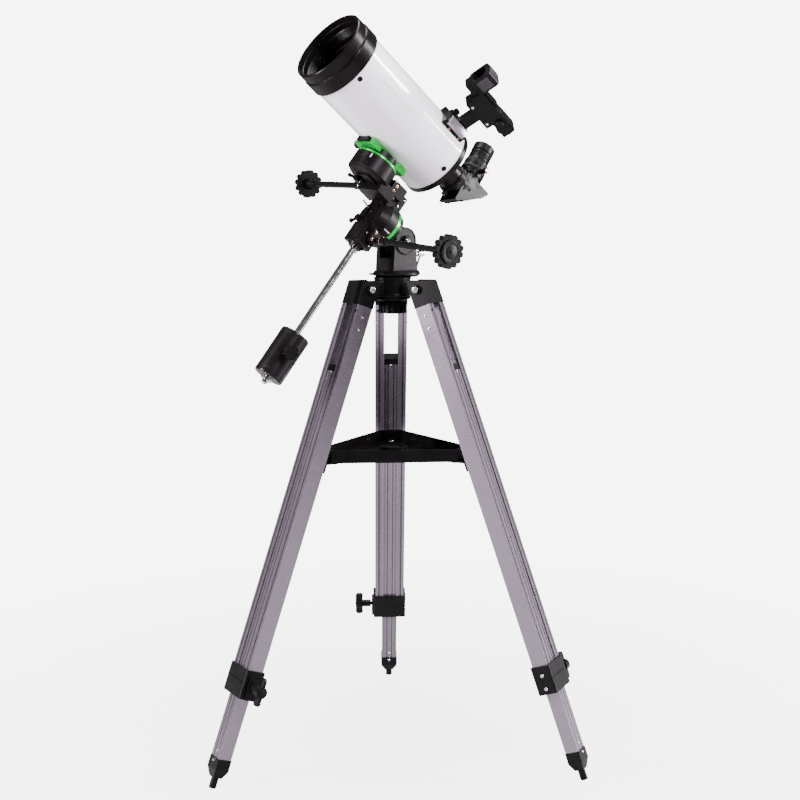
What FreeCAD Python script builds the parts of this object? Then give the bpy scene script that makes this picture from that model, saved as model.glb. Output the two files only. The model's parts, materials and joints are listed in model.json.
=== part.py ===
import FreeCAD, Part
import math
import os

# A 102 mm Maksutov telescope on a small equatorial mount and an aluminium tripod.
# Millimetres, Z up. Parts are modelled about the tripod's own vertical axis with the ground at
# zero, then moved so that the origin is the middle of the bounding box at ground height.

# ---------------------------------------------------------------- driving dimensions
LEG_AZIMUTHS = {"rear": 90.0, "left": 210.0, "right": 330.0}
LEG_LEAN = 20.1            # degrees from the vertical
HINGE_HEIGHT = 715.0       # height of the leg hinge bolts
HINGE_RADIUS = 53.0        # from the tripod's axis to a hinge bolt
LEG_WIDTH = 49.0           # outer leg, across both rails
LEG_DEPTH = 24.0           # outer leg, front to back
RAIL_WALL = 1.4
RAIL_INNER = 13.0          # rail box starts this far from the leg's middle plane
RAIL_LIP = 11.0            # lips that wrap the inner leg reach in to here
INNER_WIDTH = 25.4
INNER_DEPTH = 20.4
FIT = 0.3                  # free gap between sliding leg parts
# distances down the leg from its hinge bolt
RAIL_TOP, RAIL_END = 26.0, 598.0
CLAMP_TOP, CLAMP_END = 580.0, 622.0
CLAMP_SCREW = 602.0
STOP_TOP, STOP_END = 120.0, 138.0
FOOT_TOP, FOOT_NECK, FOOT_TIP = 716.0, 745.0, 761.0
HUB_TOP, HUB_BASE = 732.0, 699.0
HUB_RADIUS = 27.0
TRAY_TOP, TRAY_LIP = 480.0, 19.0
TRAY_FRONT = 73.5          # tray centre to the middle of a long side
TRAY_HALF = 93.9           # half of a long side
TRAY_ARM = 262.0           # distance down the leg of the tray arm's screw

# the mount's pivot and its directions
PIVOT = (6.4, 5.2, 785.4)  # altitude pivot
POLE_AZIMUTH = 219.04      # compass direction of the polar axis
LATITUDE = 38.1
HOUR_TURN = -6.08          # the counterweight shaft's turn away from straight down
DEC_TURN = -2.62           # the tube's turn away from the polar axis
ALT_BOLT = -20.0           # altitude bolt, below the pivot
ALT_BAR, ALT_BAR_SLIP, ALT_BAR_TURN = 30.0, 9.0, 24.0
RA_CIRCLE = 30.2           # along the polar axis from the pivot: underside of the setting circle
CIRCLE_RADIUS = 33.0
RA_CIRCLE_THICK = 6.5
DEC_CIRCLE_THICK = 4.0
RA_TOP = 65.0              # front face of the RA drum
SHAFT_LEVEL = 55.6         # counterweight shaft, along the polar axis
DEC_LEVEL = 105.0          # dec axis, along the polar axis
DRUM_RADIUS = 33.5
DEC_BASE, DEC_TOP = 35.0, 61.5   # dec drum, along the dec axis from the polar axis
RA_WORM_OFFSET = 31.5      # worm shaft, from the polar axis
DEC_WORM_OFFSET = 18.0     # worm shaft, from the dec axis
RA_WORM_LEVEL = 46.0
DEC_WORM_TURN = 4.0        # the dec worm's turn about the dec axis
DEC_WORM_LEVEL = 35.0
HANDLE_REACH = 196.0       # from the wheel's axis to a slow-motion knob's face
TUBE_LEVEL = 134.8         # tube axis, along the dec axis from the polar axis
SHAFT_RADIUS = 5.0
SADDLE_BASE, SADDLE_TOP = 69.5, 81.0
SHAFT_START, SHAFT_END = -46.0, -290.0
WEIGHT_RADIUS, WEIGHT_LENGTH, WEIGHT_MIDDLE = 22.5, 75.0, -250.0
WEIGHT_TURN = -18.0        # the weight is clamped with its knob turned this far

# the optical tube, measured forward along its axis from the dec axis
TUBE_RADIUS, TUBE_WALL = 56.3, 1.5
TUBE_REAR, TUBE_FRONT = -78.5, 130.5
FRONT_END = 169.0
APERTURE = 51.0            # clear radius of the corrector lens
DEW_BORE = 52.5
REAR_FACE = -89.5
BACK_END = -133.0          # end of the visual back
DIAGONAL_AXIS = -151.5     # where the eyepiece axis crosses the tube axis
DIAGONAL_TURN = 10.0
EYECUP_TOP = 83.5
COVER_DEPTH = 14.4         # mirror cover, behind that crossing
BACK_SCREWS = (70.0, -90.0)
LENS_SEAT = 10.0
MIRROR_BACK = -50.0
FOCUS_TURN = 195.0
FINDER_TURN = 46.0
FINDER_WINDOW = 139.0      # window's middle, from the tube's axis

V = FreeCAD.Vector


# ---------------------------------------------------------------- frames
def placement(origin, x_axis, y_axis, z_axis):
    m = FreeCAD.Matrix(
        x_axis.x, y_axis.x, z_axis.x, origin.x,
        x_axis.y, y_axis.y, z_axis.y, origin.y,
        x_axis.z, y_axis.z, z_axis.z, origin.z,
        0, 0, 0, 1)
    return FreeCAD.Placement(m)


def leg_frame(azimuth):
    """Origin at the hinge bolt, Z up the leg, Y out of its outer face."""
    lean = math.radians(LEG_LEAN)
    turn = math.radians(azimuth)
    out = V(math.cos(turn), math.sin(turn), 0)
    up = out * -math.sin(lean) + V(0, 0, math.cos(lean))
    face = out * math.cos(lean) + V(0, 0, math.sin(lean))
    return placement(out * HINGE_RADIUS + V(0, 0, HINGE_HEIGHT), face.cross(up), face, up)


def mount_directions():
    turn, tilt = math.radians(POLE_AZIMUTH), math.radians(LATITUDE)
    pole = V(math.cos(tilt) * math.cos(turn), math.cos(tilt) * math.sin(turn), math.sin(tilt))
    low = (pole * pole.z - V(0, 0, 1)).normalize()
    side = pole.cross(low)
    hour = math.radians(HOUR_TURN)
    dec = (low * math.cos(hour) + side * math.sin(hour)) * -1
    return pole, dec, dec.cross(pole)


POLE, DEC, EAST = mount_directions()
ORIGIN = V(*PIVOT)
TUBE_AXIS = POLE * math.cos(math.radians(DEC_TURN)) + EAST * math.sin(math.radians(DEC_TURN))
BACK = V(-math.cos(math.radians(POLE_AZIMUTH)), -math.sin(math.radians(POLE_AZIMUTH)), 0)
ACROSS = BACK.cross(V(0, 0, 1))

YOKE_FRAME = placement(ORIGIN, ACROSS, BACK, V(0, 0, 1))
RA_FRAME = placement(ORIGIN, EAST, DEC, POLE)
DEC_FRAME = placement(ORIGIN + POLE * DEC_LEVEL, TUBE_AXIS, DEC.cross(TUBE_AXIS), DEC)
TUBE_FRAME = placement(ORIGIN + POLE * DEC_LEVEL + DEC * TUBE_LEVEL,
                       DEC.cross(TUBE_AXIS), DEC, TUBE_AXIS)


def put(frame, shape):
    moved = shape.copy()
    moved.Placement = frame.multiply(moved.Placement)
    return moved


def turned(angle, axis=(0, 0, 1), at=(0, 0, 0)):
    spin = FreeCAD.Rotation(V(*axis), angle)
    return FreeCAD.Placement(V(*at), spin)


# ---------------------------------------------------------------- plain solids
def disc(radius, z0, z1, x=0.0, y=0.0):
    return Part.makeCylinder(radius, z1 - z0, V(x, y, z0))


def cone(r0, r1, z0, z1):
    return Part.makeCone(r0, r1, z1 - z0, V(0, 0, z0))


def ring(outer, inner, z0, z1):
    return disc(outer, z0, z1).cut(disc(inner, z0 - 1, z1 + 1))


def block(x0, x1, y0, y1, z0, z1):
    return Part.makeBox(x1 - x0, y1 - y0, z1 - z0, V(x0, y0, z0))


def rod(radius, start, end):
    start, end = V(*start), V(*end)
    return Part.makeCylinder(radius, (end - start).Length, start, end - start)


def spun(outline):
    """Solid of revolution about Z from (radius, height) points."""
    points = [V(r, 0, z) for r, z in outline]
    wire = Part.makePolygon(points + points[:1])
    return Part.Face(wire).revolve(V(0, 0, 0), V(0, 0, 1), 360)


def prism(outline, z0, z1):
    points = [V(x, y, z0) for x, y in outline]
    return Part.Face(Part.makePolygon(points + points[:1])).extrude(V(0, 0, z1 - z0))


def joined(shapes):
    whole = shapes[0]
    if len(shapes) > 1:
        whole = whole.multiFuse(shapes[1:])
    return whole.removeSplitter()


def rectangle(half_x, half_y, z):
    corners = [(-half_x, -half_y), (half_x, -half_y), (half_x, half_y), (-half_x, half_y), (-half_x, -half_y)]
    return Part.makePolygon([V(x, y, z) for x, y in corners])


def rounded(radius, half_x, half_y, z0, z1):
    """Upright block with its four upright edges rounded."""
    body = block(-half_x, half_x, -half_y, half_y, z0, z1)
    edges = [e for e in body.Edges if abs(e.Vertexes[0].X - e.Vertexes[-1].X) < 0.01
             and abs(e.Vertexes[0].Y - e.Vertexes[-1].Y) < 0.01]
    return body.makeFillet(radius, edges)


def lobed(radius, lobe, count, z0, z1):
    """Knob rim with round lobes around it."""
    parts = [disc(radius - 0.8 * lobe, z0, z1)]
    for k in range(count):
        turn = 2 * math.pi * k / count
        reach = radius - lobe
        parts.append(disc(lobe, z0, z1, reach * math.cos(turn), reach * math.sin(turn)))
    return joined(parts)


# ---------------------------------------------------------------- tripod
def leg_bracket(azimuth):
    """Casting at the top of a leg: two cheeks on the hinge bolt and two plugs in the rails."""
    half, deep = LEG_WIDTH / 2 + 0.5, LEG_DEPTH / 2 + 0.5
    body = block(-half, half, -deep, deep, -RAIL_TOP, 40)
    cheek_slot = block(-14.3, 14.3, -deep - 1, deep - 3, -12, 41)
    body = body.cut(cheek_slot)
    for side in (-1, 1):
        body = body.fuse(rod(7.5, (side * half, -1, 0), (side * (half + 3), -1, 0)))
        x0, x1 = sorted((side * (RAIL_INNER + RAIL_WALL + 0.1), side * (LEG_WIDTH / 2 - RAIL_WALL - 0.1)))
        plug = LEG_DEPTH / 2 - RAIL_WALL - 0.1
        body = body.fuse(block(x0, x1, -plug, plug, -RAIL_TOP - 40, -RAIL_TOP + 2))
    body = body.cut(rod(3.1, (-40, 0, 0), (40, 0, 0)))
    body = put(leg_frame(azimuth), body)
    keep = block(-200, 200, -200, 200, HINGE_HEIGHT - 200, HUB_TOP - 4)
    keep = keep.cut(disc(29.5, HUB_BASE - 40, HUB_TOP + 1))
    return body.common(keep).removeSplitter()


def leg_rails(azimuth):
    """Two hollow extrusions with lips that wrap the inner leg."""
    rails = []
    half_depth = LEG_DEPTH / 2
    for side in (-1, 1):
        outer = block(RAIL_INNER, LEG_WIDTH / 2, -half_depth, half_depth, -RAIL_END, -RAIL_TOP)
        hollow = block(RAIL_INNER + RAIL_WALL, LEG_WIDTH / 2 - RAIL_WALL,
                       -half_depth + RAIL_WALL, half_depth - RAIL_WALL, -RAIL_END - 1, -RAIL_TOP + 1)
        rail = outer.cut(hollow)
        for face in (-1, 1):
            y0, y1 = sorted((face * half_depth, face * (half_depth - RAIL_WALL)))
            rail = rail.fuse(block(RAIL_LIP, RAIL_INNER, y0, y1, -RAIL_END, -RAIL_TOP))
            groove = block(17.6, 20.0, face * half_depth - 0.5, face * half_depth + 0.5,
                           -RAIL_END - 1, -RAIL_TOP + 1)
            rail = rail.cut(groove)
        rail = rail.removeSplitter()
        if side < 0:
            rail = put(turned(180), rail)
        rails.append(rail)
    return put(leg_frame(azimuth), Part.makeCompound(rails))


def leg_clamp(azimuth):
    """Collar around the rails' lower end, with a lug for the wing screw."""
    half, deep = LEG_WIDTH / 2 + 3.2, LEG_DEPTH / 2 + 3.2
    body = rounded(3, half, deep, -CLAMP_END, -CLAMP_TOP)
    body = body.fuse(block(-half - 3, -half + 6, -8, 8, -CLAMP_END, -CLAMP_SCREW + 13))
    gap = 0.1
    body = body.cut(block(-LEG_WIDTH / 2 - gap, LEG_WIDTH / 2 + gap,
                          -LEG_DEPTH / 2 - gap, LEG_DEPTH / 2 + gap, -RAIL_END - gap, -CLAMP_TOP + 1))
    body = body.cut(block(-INNER_WIDTH / 2 - FIT, INNER_WIDTH / 2 + FIT,
                          -INNER_DEPTH / 2 - FIT, INNER_DEPTH / 2 + FIT, -CLAMP_END - 1, -CLAMP_TOP))
    screw_hole = rod(3.05, (-half - 10, 0, -CLAMP_SCREW), (-INNER_WIDTH / 2 - 0.1, 0, -CLAMP_SCREW))
    return put(leg_frame(azimuth), body.cut(screw_hole).removeSplitter())


def clamp_wing_screw(azimuth):
    """Moulded wing head on a screw that presses on the inner leg."""
    head = -LEG_WIDTH / 2 - 8
    z = -CLAMP_SCREW
    parts = [rod(3.0, (-INNER_WIDTH / 2 - 0.8, 0, z), (head - 4, 0, z)),
             rod(6.0, (head, 0, z), (head - 16, 0, z)),
             rod(8.5, (head - 14, 0, z), (head - 26, 0, z))]
    wings = block(head - 25, head - 16, -2.6, 2.6, z - 16.5, z + 16.5)
    parts.append(wings)
    return put(leg_frame(azimuth), joined(parts))


def inner_leg(azimuth):
    """Hollow sliding leg."""
    hw, hd = INNER_WIDTH / 2, INNER_DEPTH / 2
    top, end = -STOP_END + 8, -FOOT_TOP - 14
    body = block(-hw, hw, -hd, hd, end, top)
    body = body.cut(block(-hw + 1.5, hw - 1.5, -hd + 1.5, hd - 1.5, end - 1, top + 1))
    for x in (-4.5, 4.5):
        for face in (-1, 1):
            body = body.cut(block(x - 1, x + 1, face * hd - 0.5, face * hd + 0.5, end - 1, top + 1))
    return put(leg_frame(azimuth), body)


def inner_leg_ends(azimuth):
    """Stop cap at the top of the sliding leg and the pointed foot at its bottom."""
    hw, hd = INNER_WIDTH / 2, INNER_DEPTH / 2
    plug_w, plug_d = hw - 1.6, hd - 1.6
    stop = block(-hw, hw, -hd, hd, -STOP_END + 8.1, -STOP_TOP)
    stop = stop.fuse(block(-plug_w, plug_w, -plug_d, plug_d, -STOP_END - 12, -STOP_END + 9))
    cup = rounded(2, hw + 1.3, hd + 1.3, -FOOT_TOP - 16, -FOOT_TOP)
    cup = cup.cut(block(-hw - 0.1, hw + 0.1, -hd - 0.1, hd + 0.1, -FOOT_TOP - 14.1, -FOOT_TOP + 1))
    taper = Part.makeLoft([rectangle(hw + 1.1, hd + 1.1, -FOOT_TOP - 16), rectangle(7, 7, -FOOT_NECK)], True)
    peg = disc(5.5, -FOOT_TIP, -FOOT_NECK + 1)
    foot = cup.fuse(taper).fuse(peg).removeSplitter()
    ends = put(leg_frame(azimuth), Part.makeCompound([stop.removeSplitter(), foot]))
    ground = block(-600, 600, -600, 600, -20, 0)
    return Part.makeCompound([s.cut(ground) for s in ends.Solids])


def tripod_hub():
    """Spreader casting with three lugs on the hinge bolts."""
    body = disc(HUB_RADIUS, HUB_BASE, HUB_TOP)
    body = body.fuse(cone(22, HUB_RADIUS, HUB_BASE - 2, HUB_BASE + 6))
    for azimuth in LEG_AZIMUTHS.values():
        lug = block(20, HINGE_RADIUS, -14, 14, HINGE_HEIGHT - 9, HINGE_HEIGHT + 9)
        lug = lug.fuse(rod(9, (HINGE_RADIUS, -14, HINGE_HEIGHT), (HINGE_RADIUS, 14, HINGE_HEIGHT)))
        lug = lug.cut(rod(3.1, (HINGE_RADIUS, -20, HINGE_HEIGHT), (HINGE_RADIUS, 20, HINGE_HEIGHT)))
        body = body.fuse(put(turned(azimuth), lug))
    body = body.cut(disc(5.3, HUB_BASE - 5, HUB_TOP + 1))
    return body.removeSplitter()


def hinge_bolts():
    bolts = []
    reach = LEG_WIDTH / 2 + 3.6
    for azimuth in LEG_AZIMUTHS.values():
        bolt = joined([rod(3.0, (-reach, 0, 0), (reach, 0, 0)),
                       rod(5.2, (-reach - 2.6, 0, 0), (-reach, 0, 0)),
                       rod(5.2, (reach, 0, 0), (reach + 3.2, 0, 0))])
        bolts.append(put(leg_frame(azimuth), bolt))
    return Part.makeCompound(bolts)


def tray_outline(inset):
    """Long sides parallel to each pair of legs, short corners toward the legs."""
    points = []
    for k in range(3):
        turn = math.radians(120 * k)
        for x in (-1, 1):
            px, py = x * (TRAY_HALF - inset * 1.3), -(TRAY_FRONT - inset)
            points.append((px * math.cos(turn) - py * math.sin(turn),
                           px * math.sin(turn) + py * math.cos(turn)))
    return points


def accessory_tray():
    base = TRAY_TOP - TRAY_LIP
    tray = prism(tray_outline(0), base, TRAY_TOP)
    tray = tray.cut(prism(tray_outline(2.5), base + 3, TRAY_TOP + 1))
    tray = tray.fuse(disc(19, base + 2, base + 12)).cut(disc(15.5, base + 6, base + 20))
    for azimuth in LEG_AZIMUTHS.values():
        tray = tray.cut(put(turned(azimuth), disc(2.4, base - 5, base + 10, 103, 0)))
    return tray.removeSplitter()


def tray_arms():
    """Three arms from the leg rails to the tray's underside."""
    arms = []
    base = TRAY_TOP - TRAY_LIP
    for azimuth in LEG_AZIMUTHS.values():
        lean = math.radians(LEG_LEAN)
        face = HINGE_RADIUS + (HINGE_HEIGHT - base) * math.tan(lean) - LEG_DEPTH / 2 / math.cos(lean)
        arm = block(92, face + 6, -9, 9, base - 3.2, base - 0.2)
        arm = put(turned(azimuth), arm)
        pad = block(-22, 22, -LEG_DEPTH / 2 - 4.2, -LEG_DEPTH / 2 - 0.2, -TRAY_ARM - 16, -TRAY_ARM)
        pad = put(leg_frame(azimuth), pad)
        rails = put(leg_frame(azimuth), block(-40, 40, -LEG_DEPTH / 2 - 0.2, 40, -400, -100))
        rivet = put(turned(azimuth), disc(2.3, base - 3, base + 5, 103, 0))
        arms.append(joined([arm, pad, rivet]).cut(rails))
    return Part.makeCompound(arms)


def azimuth_knob():
    """Knob under the hub; its stud holds the mount down."""
    parts = [lobed(21.5, 3.2, 16, HUB_BASE - 21, HUB_BASE - 5),
             disc(14, HUB_BASE - 6, HUB_BASE - 2.3), disc(5, HUB_BASE - 6, HUB_TOP + 4)]
    return joined(parts)


# ---------------------------------------------------------------- equatorial head
def mount_base():
    """Azimuth flange with a two-cheeked yoke for the altitude pivot."""
    floor = HUB_TOP + 0.1 - PIVOT[2]
    flange = spun([(0, floor), (31, floor), (35.5, floor + 3), (35.5, floor + 6),
                   (33, floor + 9.5), (0, floor + 9.5)])
    cheeks = prism([(-24, floor + 9), (24, floor + 9), (20.5, 0), (-20.5, 0)], -20.5, 20.5)
    cheeks = cheeks.fuse(disc(20.5, -20.5, 20.5))
    upright = placement(V(0, 0, 0), V(0, 1, 0), V(0, 0, 1), V(1, 0, 0))
    cheeks = put(upright, cheeks)
    for side in (-1, 1):
        cheeks = cheeks.fuse(rod(20.5, (side * 20, 0, 0), (side * 22, 0, 0)))
    channel = block(-13, 13, -40, 21, -25, 40).fuse(block(-13, 13, 0, 40, -12, 40))
    cheeks = cheeks.cut(channel).cut(rod(5.05, (-40, 0, 0), (40, 0, 0)))
    cheeks = cheeks.cut(rod(3.05, (0, 0, ALT_BOLT), (0, 40, ALT_BOLT)))
    body = put(YOKE_FRAME, flange.fuse(cheeks))
    hub_axis = disc(5.05, HUB_TOP - 2, HUB_TOP + 5)
    return body.cut(hub_axis).removeSplitter()


def altitude_bolt():
    """Screw behind the yoke that sets the latitude, with a sliding tommy bar."""
    spin = turned(ALT_BAR_TURN, axis=(0, 1, 0), at=(0, 0, ALT_BOLT))
    low, high = -ALT_BAR / 2 - ALT_BAR_SLIP, ALT_BAR / 2 - ALT_BAR_SLIP
    parts = [rod(3.0, (0, 21.2, 0), (0, 46, 0)), rod(4.6, (0, 43, 0), (0, 54, 0)),
             rod(1.7, (0, 49, low), (0, 49, high)),
             Part.makeSphere(2.8, V(0, 49, low)), Part.makeSphere(2.8, V(0, 49, high))]
    return put(YOKE_FRAME.multiply(spin), joined(parts))


def latitude_housing():
    """Trunnion between the yoke's cheeks with the polar bearing above it."""
    core = rod(20, (-12.7, 0, 0), (12.7, 0, 0))
    neck = block(-12.7, 12.7, -19, 19, 0, 26)
    flange = disc(30.5, 23.5, RA_CIRCLE - 0.2)
    bearing = disc(16, RA_CIRCLE - 1, RA_CIRCLE + 18)
    body = joined([core, neck, flange, bearing])
    body = body.cut(disc(9, -30, 60))
    body = put(RA_FRAME.multiply(turned(-housing_twist())), body)
    return body.cut(put(YOKE_FRAME, rod(5.1, (-40, 0, 0), (40, 0, 0)))).removeSplitter()


def housing_twist():
    """Turn about the polar axis that lines the housing up with the level pivot bolt."""
    return math.degrees(math.atan2(ACROSS.dot(DEC), ACROSS.dot(EAST))) * -1


def altitude_pivot():
    parts = [rod(5.0, (-24, 0, 0), (24, 0, 0)), rod(8, (22.1, 0, 0), (26, 0, 0)),
             rod(8, (-26, 0, 0), (-22.1, 0, 0))]
    return put(YOKE_FRAME, joined(parts))


def setting_circle(z0, thick, bore):
    body = ring(CIRCLE_RADIUS, bore, z0, z0 + thick)
    edges = [e for e in body.Edges if abs(e.BoundBox.XLength - 2 * CIRCLE_RADIUS) < 0.1]
    return body.makeChamfer(0.8, edges)


def ra_setting_circle():
    return put(RA_FRAME, setting_circle(RA_CIRCLE, RA_CIRCLE_THICK, 16.05))


def lever_places():
    """Lock lever frames: Z out of the face, X along the arm."""
    ra = placement(V(-14, -12, RA_TOP), V(-0.8, -0.6, 0), V(0.6, -0.8, 0), V(0, 0, 1))
    dec = placement(V(-15, DEC_BASE, DEC_LEVEL + 3), V(-0.5, 0, 0.866), V(-0.866, 0, -0.5), V(0, -1, 0))
    return {"ra_lock_lever": RA_FRAME.multiply(ra), "dec_lock_lever": RA_FRAME.multiply(dec)}


def dec_upright():
    """Frame of the dec axis inside the RA casting."""
    return placement(V(0, 0, DEC_LEVEL), V(1, 0, 0), V(0, 0, -1), V(0, 1, 0))


def raised_rim(half_x, half_y, low, high):
    """Rounded rectangular rim that stands on a face."""
    outer = rounded(5, half_x, half_y, low, high)
    return outer.cut(rounded(3.5, half_x - 2.5, half_y - 2.5, low - 1, high + 1))


def ra_drum():
    z0 = RA_CIRCLE + RA_CIRCLE_THICK + 0.2
    return joined([disc(DRUM_RADIUS, z0, z0 + 15), cone(DRUM_RADIUS, 25, z0 + 15, RA_TOP),
                   put(turned(90), raised_rim(17, 11, RA_TOP - 1, RA_TOP + 3))])


def shaft_socket():
    """Block under the RA drum with a nose around the counterweight shaft."""
    body = block(-17, 17, -50, -18, RA_CIRCLE + 11, RA_TOP + 4)
    nose = placement(V(0, -49, SHAFT_LEVEL), V(1, 0, 0), V(0, 0, 1), V(0, -1, 0))
    return body.fuse(put(nose, cone(13.5, 10, 0, 6)))


def neck():
    """Carries the dec drum beside the RA drum."""
    return joined([block(-20, 20, 20, 46, 38, 63), block(-20, 25.5, 37, 57, 48, 76),
                   block(-9, 21, 26, 50, 37.5, 50), block(-26, 26, 24, 43, 64, 93)])


def dec_drum():
    body = joined([disc(DRUM_RADIUS, DEC_BASE + 4, DEC_TOP), cone(28, DRUM_RADIUS, DEC_BASE, DEC_BASE + 4),
                   raised_rim(16, 11, DEC_BASE - 3, DEC_BASE + 1)])
    return put(dec_upright(), body)


def ra_worm():
    """Frame with Z along the worm shaft toward its handle."""
    return placement(V(0, -RA_WORM_OFFSET, RA_WORM_LEVEL), V(0, 0, -1), V(0, 1, 0), V(1, 0, 0))


def dec_worm():
    turn = math.radians(DEC_WORM_TURN)
    along = V(-math.cos(turn), 0, -math.sin(turn))
    at = V(0, DEC_WORM_LEVEL, DEC_LEVEL - DEC_WORM_OFFSET)
    return placement(at, V(0, 1, 0).cross(along), V(0, 1, 0), along)


def ra_body():
    """Casting that turns on the polar axis: RA drum, counterweight socket, neck and dec drum."""
    z0 = RA_CIRCLE + RA_CIRCLE_THICK + 0.2
    worm_box = block(-24, 26, -RA_WORM_OFFSET - 8, -18, RA_WORM_LEVEL - 8, RA_WORM_LEVEL + 12)
    body = joined([ra_drum(), shaft_socket(), worm_box, neck(), dec_drum()])
    body = body.cut(disc(16.05, z0 - 1, z0 + 14)).cut(disc(8.9, z0 + 13, z0 + 15))
    body = body.cut(put(dec_upright(), disc(10.05, DEC_TOP - 19, DEC_TOP + 1)))
    body = body.cut(rod(SHAFT_RADIUS + 0.05, (0, SHAFT_START, SHAFT_LEVEL), (0, -90, SHAFT_LEVEL)))
    for worm in (ra_worm(), dec_worm()):
        body = body.cut(put(worm, disc(4.05, -0.1, 60)))
    for frame in lever_places().values():
        body = body.cut(put(RA_FRAME.inverse().multiply(frame), disc(3.05, -9, 5)))
    return put(RA_FRAME, body.removeSplitter())


def handle(knob_radius, lobes):
    """Slow-motion handle along Z from the worm: shaft, sleeve, ferrule and scalloped knob."""
    start, face = 0.0, HANDLE_REACH
    knob = lobed(knob_radius, 4.2, lobes, face - 13, face - 2)
    cap = disc(knob_radius - 7.5, face - 3, face)
    cap = cap.cut(ring(knob_radius - 10, knob_radius - 11.2, face - 0.6, face + 1))
    parts = [disc(4.0, start, 44), disc(6.2, 38, 48), disc(4.6, 47, face - 24),
             cone(5.6, 9, face - 26, face - 12), knob, cap]
    return joined(parts)


def ra_handle():
    return put(RA_FRAME.multiply(ra_worm()), handle(24.0, 14))


def dec_handle():
    return put(RA_FRAME.multiply(dec_worm()), handle(22.0, 12))


def lock_lever():
    """Lever on a short screw, pointing along +X, clear of the rim beside it."""
    return joined([disc(3.0, -8, 5), disc(5.0, 3.3, 8.5), block(0, 12, -2, 2, 4.4, 7.5),
                   disc(3.3, 4.4, 8.5, 12, 0)])


def counterweight_shaft():
    return put(RA_FRAME, rod(SHAFT_RADIUS, (0, SHAFT_START, SHAFT_LEVEL), (0, SHAFT_END, SHAFT_LEVEL)))


def shaft_stop():
    """Washer and screw on the end of the shaft."""
    body = joined([rod(9, (0, SHAFT_END, SHAFT_LEVEL), (0, SHAFT_END - 2, SHAFT_LEVEL)),
                   rod(5, (0, SHAFT_END - 2, SHAFT_LEVEL), (0, SHAFT_END - 6, SHAFT_LEVEL))])
    return put(RA_FRAME, body)


def weight_frame():
    """Z up the shaft, X toward the clamp knob."""
    level = placement(V(0, WEIGHT_MIDDLE, SHAFT_LEVEL), V(1, 0, 0), V(0, 0, -1), V(0, 1, 0))
    return RA_FRAME.multiply(level).multiply(turned(WEIGHT_TURN))


def counterweight():
    half = WEIGHT_LENGTH / 2
    body = disc(WEIGHT_RADIUS, -half, half)
    edges = [e for e in body.Edges if abs(e.BoundBox.XLength - 2 * WEIGHT_RADIUS) < 0.1]
    body = body.makeFillet(2.5, edges).cut(disc(SHAFT_RADIUS + 0.08, -half - 1, half + 1))
    body = body.cut(rod(3.05, (SHAFT_RADIUS - 1, 0, 4), (40, 0, 4)))
    return put(weight_frame(), body)


def counterweight_knob():
    z = 4
    at = placement(V(SHAFT_RADIUS + 0.3, 0, z), V(0, 0, -1), V(0, 1, 0), V(1, 0, 0))
    reach = WEIGHT_RADIUS - SHAFT_RADIUS
    body = joined([disc(3.0, 0, reach + 4), disc(6, reach + 0.6, reach + 7),
                   lobed(11, 3, 7, reach + 5, reach + 16)])
    return put(weight_frame().multiply(at), body)


# ---------------------------------------------------------------- dec table and saddle
def dec_setting_circle():
    at = RA_FRAME.multiply(placement(V(0, 0, DEC_LEVEL), V(1, 0, 0), V(0, 0, -1), V(0, 1, 0)))
    return put(at, setting_circle(DEC_TOP + 0.2, DEC_CIRCLE_THICK, 24.05))


def dec_table():
    """Turntable on the dec axis with a groove for the saddle."""
    top = DEC_TOP + 0.2 + DEC_CIRCLE_THICK + 0.2
    body = joined([disc(10, DEC_TOP - 18, top), disc(24, DEC_TOP + 0.2, top + 1),
                   disc(27, top, SADDLE_BASE + 7)])
    body = body.cut(block(-40, 40, -21.1, 21.1, SADDLE_BASE - 0.1, 90))
    return put(DEC_FRAME, body)


def along_tube():
    """Profile frame of the saddle and its bar: X across the tube, Y up, Z along it."""
    return placement(V(0, 0, 0), V(0, 1, 0), V(0, 0, 1), V(1, 0, 0))


def saddle():
    """Dovetail channel along the tube."""
    z0, z1 = SADDLE_BASE, SADDLE_TOP
    profile = [(-21, z0), (21, z0), (21, z1 - 2.5), (18, z1), (12.5, z1), (15.7, z0 + 3.2),
               (-15.7, z0 + 3.2), (-12.5, z1), (-18, z1), (-21, z1 - 2.5)]
    body = put(along_tube(), prism(profile, -37, 37))
    body = body.cut(rod(2.55, (27, -30, z0 + 6), (27, 0, z0 + 6)))
    return put(DEC_FRAME, body).cut(put(TUBE_FRAME, disc(TUBE_RADIUS + 0.6, -90, 90)))


def saddle_screw():
    """Screw on the saddle's far side that clamps the dovetail bar."""
    z = SADDLE_BASE + 6
    body = joined([rod(2.5, (27, -14.8, z), (27, -26, z)), rod(6.5, (27, -21.6, z), (27, -31, z))])
    return put(DEC_FRAME, body)


def dovetail_bar():
    """Bar under the tube, with a curved seat."""
    z0 = SADDLE_BASE + 3.5
    profile = [(-14.6, z0), (14.6, z0), (11.7, SADDLE_TOP), (11.7, 84), (-11.7, 84), (-11.7, SADDLE_TOP)]
    body = put(DEC_FRAME, put(along_tube(), prism(profile, -42, 42)))
    return body.cut(put(TUBE_FRAME, disc(TUBE_RADIUS + 0.05, -60, 60)))


# ---------------------------------------------------------------- optical tube
def optical_tube():
    return put(TUBE_FRAME, ring(TUBE_RADIUS, TUBE_RADIUS - TUBE_WALL, TUBE_REAR, TUBE_FRONT))


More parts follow.
